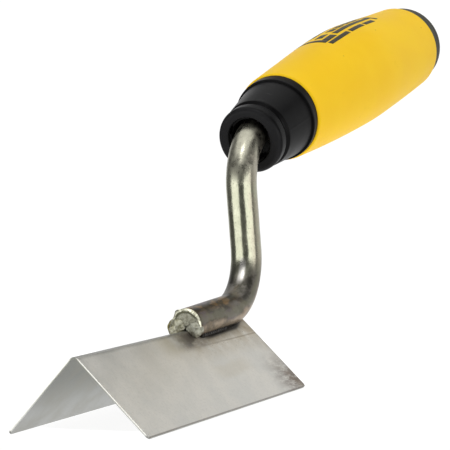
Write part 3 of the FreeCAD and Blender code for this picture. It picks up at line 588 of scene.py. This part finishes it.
# ---------------------------------------------------------------- mesh helpers
def new_piece(name, rings, materials, place=None, closed=False, caps=(True, True), paint=None):
    """A piece skinned over rings of points; paint gives a face's material from its ring."""
    mesh = bmesh.new()
    loops = [[mesh.verts.new(point) for point in ring] for ring in rings]
    pairs = list(zip(loops, loops[1:] + loops[:1])) if closed else list(zip(loops, loops[1:]))
    for index, (first, second) in enumerate(pairs):
        count = len(first)
        for i in range(count):
            j = (i + 1) % count
            corners = [first[i], first[j], second[j], second[i]]
            face = mesh.faces.new(corners)
            face.material_index = paint(index) if paint else 0
    if not closed:
        for wanted, loop, index in ((caps[0], loops[0], 0), (caps[1], loops[-1], len(pairs) - 1)):
            if wanted:
                centre = mesh.verts.new(sum((v.co for v in loop), Vector()) / len(loop))
                for i, vertex in enumerate(loop):
                    face = mesh.faces.new([centre, vertex, loop[(i + 1) % len(loop)]])
                    face.material_index = paint(index) if paint else 0
    bmesh.ops.recalc_face_normals(mesh, faces=mesh.faces)
    return from_bmesh(name, mesh, materials, place)


def from_bmesh(name, mesh, materials, place=None, sharp=35.0):
    data = bpy.data.meshes.new(name)
    mesh.to_mesh(data)
    mesh.free()
    for material in materials:
        data.materials.append(material)
    data.shade_smooth()
    data.set_sharp_from_angle(angle=math.radians(sharp))
    piece = bpy.data.objects.new(name, data)
    scene.collection.objects.link(piece)
    if place is not None:
        piece.matrix_world = place
    return piece


def hand_over(piece, node):
    """Parents a detailed piece to the root body and hides the CAD node that it stands for."""
    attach(piece, "root")
    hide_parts(node)


def rounded(corners, steps=8):
    """A profile (station, radius, round) with its corners turned into arcs."""
    points = []
    for index, (station, radius, size) in enumerate(corners):
        here = Vector((station, radius))
        if size <= 0 or index in (0, len(corners) - 1):
            points.append(here)
            continue
        before = (Vector(corners[index - 1][:2]) - here).normalized()
        after = (Vector(corners[index + 1][:2]) - here).normalized()
        half = before.angle(after) / 2
        centre = here + (before + after).normalized() * (size / math.sin(half))
        first = here + before * (size / math.tan(half)) - centre
        last = here + after * (size / math.tan(half)) - centre
        sweep = first.angle_signed(last)
        for step in range(steps + 1):
            turned = first.copy()
            turned.rotate(Matrix.Rotation(-sweep * step / steps, 2))
            points.append(centre + turned)
    return points


def divided(outline, step):
    """The outline without its last point, its long runs divided into pieces of about step."""
    points = []
    for start, end in zip(outline, outline[1:]):
        pieces = max(1, round((end - start).length / step))
        points += [start.lerp(end, i / pieces) for i in range(pieces)]
    return points


def full_turn(count):
    """Evenly spaced angles round a full turn."""
    return [2 * math.pi * i / count for i in range(count)]


def circle_ring(station, radius, count, rise=0.0):
    """Points round the Y axis, starting on top and going towards +X."""
    return [Vector((radius * math.sin(angle), station, rise + radius * math.cos(angle)))
            for angle in full_turn(count)]


# ---------------------------------------------------------------- the rod shank
def rod_route():
    """Places along the rod's centreline in the ridge frame: (point, direction), both (y, z)."""
    tip = UPPER_CORNER + Vector((math.cos(TILT), math.sin(TILT))) * TANG_LENGTH
    lower = rounded_corner(SEAT_START, LOWER_CORNER, UPPER_CORNER, LOWER_BEND)
    upper = rounded_corner(LOWER_CORNER, UPPER_CORNER, tip, UPPER_BEND)
    bend_steps = 60
    route = []

    def straight(start, end, step):
        count = max(2, round((end - start).length / step))
        direction = (end - start).normalized()
        route.extend((start.lerp(end, i / count), direction) for i in range(count))

    def curved(bend):
        for i in range(bend_steps):
            spin = Matrix.Rotation(bend.turn * i / bend_steps, 2)
            route.append((bend.centre + spin @ (bend.first - bend.centre), spin @ bend.incoming))

    straight(SEAT_START, lower.first, 0.4 * MM)
    curved(lower)
    straight(lower.last, upper.first, 0.5 * MM)
    curved(upper)
    straight(upper.last, tip, 1.0 * MM)
    route.append((tip, (tip - UPPER_CORNER).normalized()))
    return route


def make_shank(rod, cut_face, rim):
    """The bent rod: notched astride the ridge, its end sawn rough with an uneven bare rim."""
    route = rod_route()
    angles = full_turn(144)

    def section(point, direction, uneven):
        """One ring; angle 0 is away from the blade. Points under the ridge stop on its flanks."""
        centre = Vector((0, point.x, point.y))
        outward = Vector((0, -direction.y, direction.x))
        ring = []
        for angle in angles:
            ray = Vector((1, 0, 0)) * math.sin(angle) + outward * math.cos(angle)
            size = ROD_RADIUS
            if uneven:
                where = (centre + ray * ROD_RADIUS) / ROD_WAVE
                size += ROD_UNEVEN * (noise.noise(where) + 0.4 * noise.noise(where * 4))
            slope = ray.z + abs(ray.x)
            if slope < -1e-6 and centre.z > 0 and centre.y < BLADE_LENGTH + 2 * MM:
                size = min(size, -centre.z / slope)
            ring.append(centre + ray * size)
        return ring

    def chamfer_width(angle):
        ragged = noise.noise(Vector((math.cos(angle), math.sin(angle), 0.3)) * 2.2)
        fine = noise.noise(Vector((math.cos(angle), math.sin(angle), 1.3)) * 7)
        return CHAMFER_WIDTH + CHAMFER_RAGGED * ragged + CHAMFER_FINE * fine

    middle = Vector((0, SEAT_FRONT, SEAT_LIFT))
    outline = section(*route[0], uneven=False)
    face_scales = (0.12, 0.28, 0.44, 0.58, 0.70, 0.80)

    def sawn_ring(scale):
        """A ring of the rough end face, which is flatter towards its rim, at the last scale."""
        ring = []
        for point, angle in zip(outline, angles):
            inner = 1 - chamfer_width(angle) * 1.05 / ROD_RADIUS
            place = middle.lerp(point, scale / face_scales[-1] * inner)
            rough = noise.noise(place / (1.1 * MM)) * 0.16 + noise.noise(place / (0.4 * MM)) * 0.06
            ring.append(place + Vector((0, rough * MM * min(1.0, (1.15 - scale) * 2), 0)))
        return ring

    def chamfer_ring(share):
        """A ring of the chamfer, with a burr at its upper left; share is 0 at the end face."""
        ring = []
        for point, angle in zip(outline, angles):
            width = chamfer_width(angle)
            burr = math.exp(-((angle - BURR_ANGLE) / BURR_SPREAD) ** 2) * BURR_HEIGHT
            inset = width * (1 - share) * 0.95
            size = (point - middle).length
            place = middle.lerp(point, (size - inset + burr * share) / size)
            ring.append(place + Vector((0, width * share * share * 0.9 + 0.02 * MM, 0)))
        return ring

    face_rings = [sawn_ring(scale) for scale in face_scales]
    chamfer_rings = [chamfer_ring(share) for share in (0.0, 0.35, 0.7, 1.0)]
    start = next(i for i, place in enumerate(route) if place[0].x >= SEAT_FRONT + 1.2 * MM)
    body_rings = [section(*place, uneven=True) for place in route[start:]]

    # The tang's hidden end has two flats.
    tip = route[-1][0]
    for (place, direction), ring in zip(route[start:], body_rings):
        from_tip = (tip - place).dot(direction)
        if from_tip < FLAT_LENGTH and place.x > UPPER_CORNER.x and place.y > UPPER_CORNER.y:
            for point in ring:
                point.x = max(-FLAT_HALF_WIDTH, min(FLAT_HALF_WIDTH, point.x))
    face_end = len(face_rings) - 1
    chamfer_end = face_end + len(chamfer_rings)

    def paint(index):
        if index < face_end:
            return 1
        return 2 if index < chamfer_end else 0

    rings = face_rings + chamfer_rings + body_rings
    shank = new_piece("shank_rod", rings, [rod, cut_face, rim], RIDGE, paint=paint)
    hand_over(shank, "shank")


# ---------------------------------------------------------------- welds
def on_flank(point, lift=0.0):
    """The point, raised if need be so that it isn't inside the blade."""
    return Vector((point.x, point.y, max(point.z, -abs(point.x) + lift)))


def make_tack(side_name, side, material):
    """A nugget of weld metal: a lumpy ball that has sagged on to the blade."""
    radius, across, down = TACKS[side_name]
    centre = Vector((side * across, SEAT_FRONT + TACK_BEHIND, -down))
    mesh = bmesh.new()
    bmesh.ops.create_icosphere(mesh, subdivisions=5, radius=1.0)
    for vertex in mesh.verts:
        ray = vertex.co.normalized()
        seed = ray * 1.5 + Vector((side * 5.0, 0, 0))
        lump = 0.13 * noise.noise(seed) + 0.06 * noise.noise(seed * 2.7) + 0.025 * noise.noise(seed * 7)
        squash = Vector((1.0, 0.86, 0.96))
        reach = ray * radius * (0.95 + lump)
        place = centre + Vector((reach.x * squash.x, reach.y * squash.y, reach.z * squash.z))
        vertex.co = on_flank(place, -0.01 * MM)
    bmesh.ops.remove_doubles(mesh, verts=mesh.verts, dist=1e-6)
    tack = from_bmesh("weld_nugget_" + side_name, mesh, [material], RIDGE, 60.0)
    hand_over(tack, "weld_tack_" + side_name)


def make_seam(side_name, side, material):
    """A rippled bead in the corner between the rod's lower side and the blade."""
    steps = 132
    rings = []
    for step in range(steps + 1):
        share = step / steps
        y = SEAM_FRONT + SEAM_LENGTH * share
        rise = (SEAT_LIFT + SEAT_SLOPE * (y - SEAT_FRONT)) / math.sqrt(2)
        corner = (math.sqrt(ROD_RADIUS ** 2 - rise ** 2) - rise) / math.sqrt(2)
        uneven = 0.6 * noise.noise(Vector((share * 9, side, 0)))
        ripple = abs(math.sin(share * math.pi * BEAD_RIPPLES + uneven))
        taper = min(1.0, math.sqrt(max(1e-4, min(share, 1 - share)) * 14))
        size = (BEAD_RADIUS + BEAD_RIPPLE * ripple) * taper
        wander = BEAD_WANDER * noise.noise(Vector((share * 6, side * 3, 2)))
        middle = Vector((side * (corner + BEAD_OUTWARD + wander), y, BEAD_LIFT - corner))
        ring = []
        for angle in full_turn(28):
            place = middle + Vector((math.sin(angle), 0, math.cos(angle))) * size
            place.y += BEAD_LEAN * math.cos(angle) * (1 - ripple) * taper
            ring.append(on_flank(place, -0.01 * MM))
        rings.append(ring)
    seam = new_piece("weld_bead_" + side_name, rings, [material], RIDGE)
    hand_over(seam, "weld_seam_" + side_name)


# ---------------------------------------------------------------- the nose collar
def slot_reach(angle, grow=0.0):
    """How far the mouth's slot outline is from its middle, in the direction of an angle."""
    radius, half = MOUTH_RADIUS + grow, MOUTH_DROP / 2
    across, up = abs(math.sin(angle)), math.cos(angle)
    if across > 1e-9 and abs(radius / across * up) <= half:
        return radius / across
    return half * abs(up) + math.sqrt(radius ** 2 - (half * across) ** 2)


def make_collar(material):
    """Moulded nose: lip, groove, neck and flange outside, a stepped mouth with notches inside."""
    angles = full_turn(288)
    lip_end = -COLLAR_LENGTH + LIP_WIDTH
    neck = lip_end + GROOVE_WIDTH
    outline = rounded([
        (-COLLAR_LENGTH, FACE_INNER_RADIUS, 0), (-COLLAR_LENGTH, LIP_RADIUS, LIP_ROUND),
        (lip_end - 0.5 * MM, LIP_RADIUS, 0.8 * MM), (lip_end + 0.6 * MM, GROOVE_RADIUS, 0.6 * MM),
        (neck - 0.1 * MM, GROOVE_RADIUS, 0.3 * MM), (neck + 0.6 * MM, NECK_FRONT_RADIUS, 0.6 * MM),
        (-FLANGE_WIDTH, NECK_REAR_RADIUS, 0.2 * MM), (-FLANGE_WIDTH, FLANGE_RADIUS, FLANGE_ROUND),
        (0, FLANGE_RADIUS, 0)], steps=7)

    def bump_at(angle, degrees, half_width):
        off = (angle - math.radians(degrees) + math.pi) % (2 * math.pi) - math.pi
        return math.exp(-(off / half_width) ** 2)

    def outer_ring(station, radius):
        ring = []
        on_neck = neck + 0.5 * MM < station < -FLANGE_WIDTH - 0.2 * MM
        on_face = station < -COLLAR_LENGTH + 0.6 * MM
        for angle in angles:
            size, y = radius, station
            if on_neck:
                size += MOULD_LINE * sum(bump_at(angle, line, 0.020) for line in MOULD_LINE_ANGLES)
            if on_face:
                y += GATE_MARK * bump_at(angle, GATE_ANGLE, 0.030)
            seed = Vector((math.cos(angle) * 2, station / (6 * MM), math.sin(angle) * 2))
            size += 0.025 * MM * noise.noise(seed)
            ring.append(Vector((size * math.sin(angle), y, size * math.cos(angle))))
        return ring

    def rear_ring(radius, forward):
        """A ring in the plane where collar and grip meet, which is square to the tang."""
        return [Vector((radius * math.sin(angle), radius * math.cos(angle) * math.tan(DROOP) - forward,
                        radius * math.cos(angle))) for angle in angles]

    def mouth_ring(station, grow, drop=None):
        ring = []
        for angle in angles:
            reach = slot_reach(angle, grow)
            y = station + (drop(angle) if drop else 0)
            ring.append(Vector((reach * math.sin(angle), y, MOUTH_LIFT + reach * math.cos(angle))))
        return ring

    def notches(angle):
        """The ledge inside the mouth is broken by moulded notches."""
        deep = 0.0
        for centre, half in LEDGE_NOTCHES:
            off = abs((math.degrees(angle) - centre + 180) % 360 - 180)
            deep = max(deep, 1 / (1 + math.exp((off - half) * 1.6)))
        return deep * NOTCH_DEPTH

    core_front = JUNCTION - CORE_FRONT
    bore_rear = rear_ring(CORE_NOSE_RADIUS, 0.0)
    bore_front = rear_ring(CORE_NOSE_RADIUS, core_front)
    # from the bore forwards: distance behind the face, growth of the slot's outline, and notches
    mouth = [(COLLAR_LENGTH - core_front, 0.0, None), (4.0 * MM, 0.0, None), (2.4 * MM, 0.0, None),
             (1.15 * MM, 0.0, notches), (1.0 * MM, 0.15 * MM, notches), (1.0 * MM, 0.62 * MM, notches),
             (0.9 * MM, 0.72 * MM, None), (0.18 * MM, 0.80 * MM, None), (0.04 * MM, 0.90 * MM, None),
             (0.0, 1.10 * MM, None)]
    inner = [mouth_ring(-COLLAR_LENGTH + depth, grow, drop) for depth, grow, drop in mouth]
    rings = [outer_ring(*station) for station in divided(outline, 0.8 * MM)]
    rings += [rear_ring(FLANGE_RADIUS, 0.05 * MM), bore_rear, bore_front] + inner
    collar = new_piece("collar_moulding", rings, [material], COLLAR, closed=True)
    hand_over(collar, "nose_collar")


# ---------------------------------------------------------------- grip, print and cap
def grip_at(distance, column):
    """The sleeve's radius (column 1) or rise (column 2) at a distance behind the junction."""
    rows = [(d * MM, r * MM, c * MM) for d, r, c in GRIP_STATIONS]

    def slope(index):
        a, b = max(0, index - 1), min(len(rows) - 1, index + 1)
        return (rows[b][column] - rows[a][column]) / (rows[b][0] - rows[a][0])

    for index, (near, far) in enumerate(zip(rows, rows[1:])):
        if distance <= far[0] or index == len(rows) - 2:
            span = far[0] - near[0]
            share = max(0.0, min(1.0, (distance - near[0]) / span))
            arrived = 3 * share ** 2 - 2 * share ** 3
            leaving = (share ** 3 - 2 * share ** 2 + share) * span
            arriving = (share ** 3 - share ** 2) * span
            between = (1 - arrived) * near[column] + arrived * far[column]
            return between + leaving * slope(index) + arriving * slope(index + 1)


def make_grip(material):
    """The yellow sleeve, with softly rounded ends, moulded round the core."""
    count, steps, body_steps = 192, 8, 120
    length = GRIP_END - JUNCTION
    body = length - GRIP_FRONT_EDGE - GRIP_REAR_EDGE
    turns = [math.pi / 2 * i / steps for i in range(steps + 1)]

    def ring(distance, inset):
        return circle_ring(JUNCTION + distance, grip_at(distance, 1) - inset, count, grip_at(distance, 2))

    rings = [ring(GRIP_FRONT_EDGE * (1 - math.cos(turn)), GRIP_FRONT_EDGE * (1 - math.sin(turn)))
             for turn in turns[:-1]]
    rings += [ring(GRIP_FRONT_EDGE + body * i / body_steps, 0) for i in range(body_steps + 1)]
    rings += [ring(length - GRIP_REAR_EDGE * (1 - math.sin(turn)), GRIP_REAR_EDGE * (1 - math.cos(turn)))
              for turn in turns[1:]]
    rings += [circle_ring(station, CORE_RADIUS, count) for station in (GRIP_END, JUNCTION)]
    grip = new_piece("grip_moulding", rings, [material], HANDLE, closed=True)
    hand_over(grip, "grip_sleeve")


def make_print(material):
    """A plain printed mark of frame and bars on the sleeve's upper side, a hair above it."""
    mesh = bmesh.new()

    def patch(front, rear, first_angle, last_angle, skew=0.0):
        """A four-sided patch between two stations, in mm along the tang, and two angles in degrees."""
        rows = max(2, round(rear - front))
        columns = max(2, round(abs(last_angle - first_angle) / 1.2))
        grid = []
        for i in range(rows + 1):
            row = []
            for j in range(columns + 1):
                station = (front + (rear - front) * i / rows + skew * j / columns) * MM
                angle = math.radians(first_angle + (last_angle - first_angle) * j / columns)
                reach = grip_at(station - JUNCTION, 1) + PRINT_LIFT
                height = grip_at(station - JUNCTION, 2) + reach * math.cos(angle)
                row.append(mesh.verts.new((reach * math.sin(angle), station, height)))
            grid.append(row)
        for low, high in zip(grid, grid[1:]):
            for j in range(columns):
                mesh.faces.new([low[j], low[j + 1], high[j + 1], high[j]])

    # frame: front edge, two-part near edge, far edge and rear edge
    patch(69.3, 72.2, -58.0, 11.5)
    patch(72.2, 80.0, 3.0, 11.5)
    patch(82.0, 114.0, 2.0, 9.0)
    patch(72.2, 114.0, -58.0, -53.0)
    patch(114.0, 115.8, -58.0, 16.5)
    # plain blocks inside the frame and a row of bars beside it
    for start, end in ((74.0, 80.0), (84.0, 89.0), (90.5, 96.0), (97.5, 102.0), (103.5, 110.0)):
        patch(start, end, -9.0, -0.5, 1.0)
    for start, end in ((76.0, 92.0), (95.0, 110.0)):
        patch(start, end, -40.0, -16.0, 3.0)
    for start, end in ((70.0, 86.5), (88.0, 100.0), (101.5, 110.5)):
        patch(start, end, 13.6, 19.8)
    mark = from_bmesh("grip_print", mesh, [material], HANDLE)
    thickness = mark.modifiers.new("ink", "SOLIDIFY")
    thickness.thickness, thickness.offset = PRINT_THICKNESS, -1.0
    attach(mark, "root")


def make_cap(material):
    """Tail cap: a tapered disc with a rounded rim, a shallow turned recess and its spigot."""
    rear = GRIP_END + CAP_THICKNESS
    recess = rear - RECESS_DEPTH
    outline = rounded([
        (GRIP_END - SPIGOT_LENGTH, 0.0, 0), (GRIP_END - SPIGOT_LENGTH, SPIGOT_RADIUS, 0.8 * MM),
        (GRIP_END, SPIGOT_RADIUS, 0.2 * MM), (GRIP_END, CAP_RADIUS, 0.35 * MM),
        (rear, CAP_REAR_RADIUS, CAP_ROUND), (rear, RECESS_RADIUS, 0.3 * MM),
        (recess, RECESS_RADIUS - 0.6 * MM, 0.3 * MM), (recess, PIP_RADIUS, 0.2 * MM),
        (recess - PIP_DEPTH, PIP_RADIUS - 0.4 * MM, 0.15 * MM), (recess - PIP_DEPTH, 0.0, 0)])
    rings = [circle_ring(station, radius, 160) for station, radius in divided(outline, 1.5 * MM)
             if radius > 0.05 * MM]
    cap = new_piece("cap_moulding", rings, [material], HANDLE)
    hand_over(cap, "tail_cap")


def dress_node(name, material, edge=0.0):
    """Gives a CAD node that is kept its material, and a slight round on its edges."""
    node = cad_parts[name]
    node.data.materials.clear()
    node.data.materials.append(material)
    if edge:
        bevel = node.modifiers.new("edge_round", "BEVEL")
        bevel.width, bevel.segments = edge, 2
        bevel.limit_method, bevel.angle_limit = "ANGLE", math.radians(40)
        bevel.harden_normals = True


scene.view_settings.view_transform = "Standard"
scene.view_settings.look = "None"
make_camera()
make_world()
make_floor()
make_lights()
dress_node("blade", blade_material(), 0.08 * MM)
dress_node("handle_core", core_material())
make_shank(rod_material(), cut_face_material(), bare_rim_material())
make_tack("left", -1, weld_material("weld_pale", (0.47, 0.46, 0.36), (0.24, 0.23, 0.15), 1.0, burnt=True))
make_tack("right", 1, weld_material("weld_grey", (0.40, 0.40, 0.33), (0.24, 0.235, 0.18), 4.0))
# real seam beads, their metal painted near black as the shade in the corner under the rod
shaded_seam_metal = weld_material("weld_shaded", (0.012, 0.009, 0.006), (0.004, 0.003, 0.002), 7.0)
make_seam("left", -1, shaded_seam_metal)
make_seam("right", 1, shaded_seam_metal)
make_collar(collar_material())
make_grip(grip_material())
make_print(print_material())
make_cap(cap_material())
